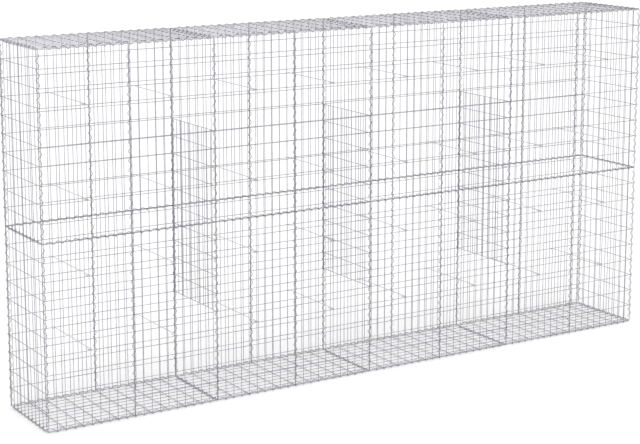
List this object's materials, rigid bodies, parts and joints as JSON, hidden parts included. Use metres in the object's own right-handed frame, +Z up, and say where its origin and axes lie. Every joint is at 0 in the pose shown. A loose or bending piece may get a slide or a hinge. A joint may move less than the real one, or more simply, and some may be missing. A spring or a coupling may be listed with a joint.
{
  "type": "gabion basket",
  "caption": "Long wall basket of welded wire mesh panels laced along every seam with spiral wire, with inner partitions and tie wires, for filling with stone.",
  "frame": {"origin": "centre of the footprint, on the ground plane that the lowest spiral binders stand on", "axes": "+X along the wall, +Y from the front face to the back face, +Z up"},
  "size_m": [4.0206, 0.5216, 2.0205],
  "materials": {
    "mesh_wire": "satin",
    "spiral_wire": "satin",
    "tie_wire": "satin"
  },
  "bodies": {
    "root": {"back_lower_bay_1": "mesh_wire", "back_lower_bay_2": "mesh_wire", "back_lower_bay_3": "mesh_wire", "back_lower_bay_4": "mesh_wire", "back_lower_upright_spirals": "spiral_wire", "back_upper_bay_1": "mesh_wire", "back_upper_bay_2": "mesh_wire", "back_upper_bay_3": "mesh_wire", "back_upper_bay_4": "mesh_wire", "back_upper_upright_spirals": "spiral_wire", "base_bay_1": "mesh_wire", "base_bay_2": "mesh_wire", "base_bay_3": "mesh_wire", "base_bay_4": "mesh_wire", "base_cross_spirals": "spiral_wire", "base_edge_spirals": "spiral_wire", "front_lower_bay_1": "mesh_wire", "front_lower_bay_2": "mesh_wire", "front_lower_bay_3": "mesh_wire", "front_lower_bay_4": "mesh_wire", "front_lower_upright_spirals": "spiral_wire", "front_upper_bay_1": "mesh_wire", "front_upper_bay_2": "mesh_wire", "front_upper_bay_3": "mesh_wire", "front_upper_bay_4": "mesh_wire", "front_upper_upright_spirals": "spiral_wire", "left_end_lower": "mesh_wire", "left_end_upper": "mesh_wire", "lid_bay_1": "mesh_wire", "lid_bay_2": "mesh_wire", "lid_bay_3": "mesh_wire", "lid_bay_4": "mesh_wire", "lid_cross_spirals": "spiral_wire", "lid_edge_spirals": "spiral_wire", "middle_spirals": "spiral_wire", "partition_1": "mesh_wire", "partition_2": "mesh_wire", "partition_3": "mesh_wire", "right_end_lower": "mesh_wire", "right_end_upper": "mesh_wire", "tie_wires_lower": "tie_wire", "tie_wires_upper": "tie_wire"}
  },
  "joints": []
}
